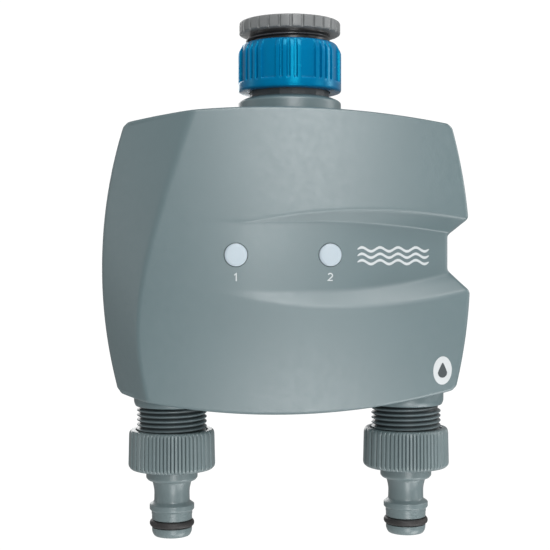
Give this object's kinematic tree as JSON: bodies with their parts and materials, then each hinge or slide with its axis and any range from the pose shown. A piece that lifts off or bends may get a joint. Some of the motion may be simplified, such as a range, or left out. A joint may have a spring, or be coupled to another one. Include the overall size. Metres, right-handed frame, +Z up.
{
  "type": "drip irrigation tap timer",
  "caption": "Electronic tap timer: a swivel nut at the top screws to a tap, a shaped battery housing holds the valves and push buttons, and threaded outlets below carry hose connectors.",
  "frame": {"origin": "on the inlet axis, at the top face of the tap washer inside the reducer", "axes": "+Z up along the inlet, -Y out of the front face with the buttons, +X to the right seen from the front"},
  "size_m": [0.1388, 0.0598, 0.1945],
  "materials": {
    "housing": "satin fine-textured grey-green moulding",
    "dark_plastic": "dark grey moulding",
    "nut_blue": "glossy blue moulding",
    "reducer_grey": "neutral grey moulding",
    "rubber": "black sealing rubber",
    "button": "pale blue-white translucent plastic",
    "board": "green circuit board",
    "steel": "plain bright steel",
    "coil": "taped copper coil",
    "cell": "plain battery sleeve with no print",
    "hose_plastic": "semi-gloss grey-green moulding"
  },
  "bodies": {
    "housing": {"housing_front": "housing", "housing_back": "housing", "inlet_collar": "housing", "outlet_collar_1": "housing", "outlet_collar_2": "housing", "seam_seal_left": "rubber", "seam_seal_right": "rubber", "seam_seal_bottom": "rubber", "manifold": "dark_plastic", "strainer_washer": "rubber", "valve_body_1": "dark_plastic", "valve_body_2": "dark_plastic", "valve_bonnet_1": "dark_plastic", "valve_bonnet_2": "dark_plastic", "solenoid_1": "coil", "solenoid_2": "coil", "circuit_board": "board", "radio_module": "steel", "capacitor": "steel", "switch_1": "dark_plastic", "switch_2": "dark_plastic", "lamp_1": "button", "lamp_2": "button", "button_seal_1": "rubber", "button_seal_2": "rubber", "battery_bay": "dark_plastic", "battery_contact_1": "steel", "battery_contact_2": "steel", "rear_screw_1": "steel", "rear_screw_2": "steel", "rear_screw_3": "steel", "rear_screw_4": "steel", "rear_screw_5": "steel", "rear_screw_6": "steel"},
    "inlet_nut": {"inlet_nut": "nut_blue"},
    "tap_washer": {"tap_washer": "rubber"},
    "reducer": {"reducer": "reducer_grey"},
    "button_1": {"button_1": "button"},
    "button_2": {"button_2": "button"},
    "battery_drawer": {"battery_drawer": "housing", "drawer_seal": "rubber", "battery_1": "cell", "battery_2": "cell", "bridge_contact": "steel"},
    "outlet_washer_1": {"outlet_washer_1": "rubber"},
    "hose_adaptor_1": {"hose_adaptor_1": "hose_plastic", "o_ring_1": "rubber"},
    "plunger_1": {"plunger_1": "steel", "plunger_spring_1": "steel", "valve_disc_1": "rubber"},
    "outlet_washer_2": {"outlet_washer_2": "rubber"},
    "hose_adaptor_2": {"hose_adaptor_2": "hose_plastic", "o_ring_2": "rubber"},
    "plunger_2": {"plunger_2": "steel", "plunger_spring_2": "steel", "valve_disc_2": "rubber"}
  },
  "joints": [
    {"name": "inlet_nut_swivel", "type": "hinge", "parent": "housing", "child": "inlet_nut", "pos_m": [0, 0, 0], "axis": [0, 0, 1], "continuous": true},
    {"name": "reducer_rise", "type": "slide", "parent": "inlet_nut", "child": "tap_washer", "axis": [0, 0, 1], "range_m": [-0.00347, 0.00694]},
    {"name": "reducer_turn", "type": "hinge", "parent": "tap_washer", "child": "reducer", "pos_m": [0, 0, 0], "axis": [0, 0, 1], "range_deg": [-540, 1080]},
    {"name": "drawer_slide", "type": "slide", "parent": "housing", "child": "battery_drawer", "axis": [0, 0, -1], "range_m": [0, 0.062]},
    {"name": "outlet_rise_1", "type": "slide", "parent": "housing", "child": "outlet_washer_1", "axis": [0, 0, 1], "range_m": [-0.0091, 0]},
    {"name": "outlet_turn_1", "type": "hinge", "parent": "outlet_washer_1", "child": "hose_adaptor_1", "pos_m": [-0.0448, 0, -0.155], "axis": [0, 0, 1], "range_deg": [-1800, 0]},
    {"name": "plunger_lift_1", "type": "slide", "parent": "housing", "child": "plunger_1", "axis": [0, 0, 1], "range_m": [0, 0.0025], "stiffness_N_per_m": 400, "springref_m": -0.002, "deforming": ["plunger_spring_1"]},
    {"name": "outlet_rise_2", "type": "slide", "parent": "housing", "child": "outlet_washer_2", "axis": [0, 0, 1], "range_m": [-0.0091, 0]},
    {"name": "outlet_turn_2", "type": "hinge", "parent": "outlet_washer_2", "child": "hose_adaptor_2", "pos_m": [0.0448, 0, -0.155], "axis": [0, 0, 1], "range_deg": [-1800, 0]},
    {"name": "plunger_lift_2", "type": "slide", "parent": "housing", "child": "plunger_2", "axis": [0, 0, 1], "range_m": [0, 0.0025], "stiffness_N_per_m": 400, "springref_m": -0.002, "deforming": ["plunger_spring_2"]},
    {"name": "button_press_1", "type": "slide", "parent": "housing", "child": "button_1", "axis": [0, 1, 0], "range_m": [0, 0.0008], "stiffness_N_per_m": 900, "springref_m": -0.0006},
    {"name": "button_press_2", "type": "slide", "parent": "housing", "child": "button_2", "axis": [0, 1, 0], "range_m": [0, 0.0008], "stiffness_N_per_m": 900, "springref_m": -0.0006}
  ],
  "couplings": [
    {"joint": "reducer_rise", "follows": "reducer_turn", "m_per_rad": 0.00036749},
    {"joint": "outlet_rise_1", "follows": "outlet_turn_1", "m_per_rad": 0.00028871},
    {"joint": "outlet_rise_2", "follows": "outlet_turn_2", "m_per_rad": 0.00028871}
  ]
}
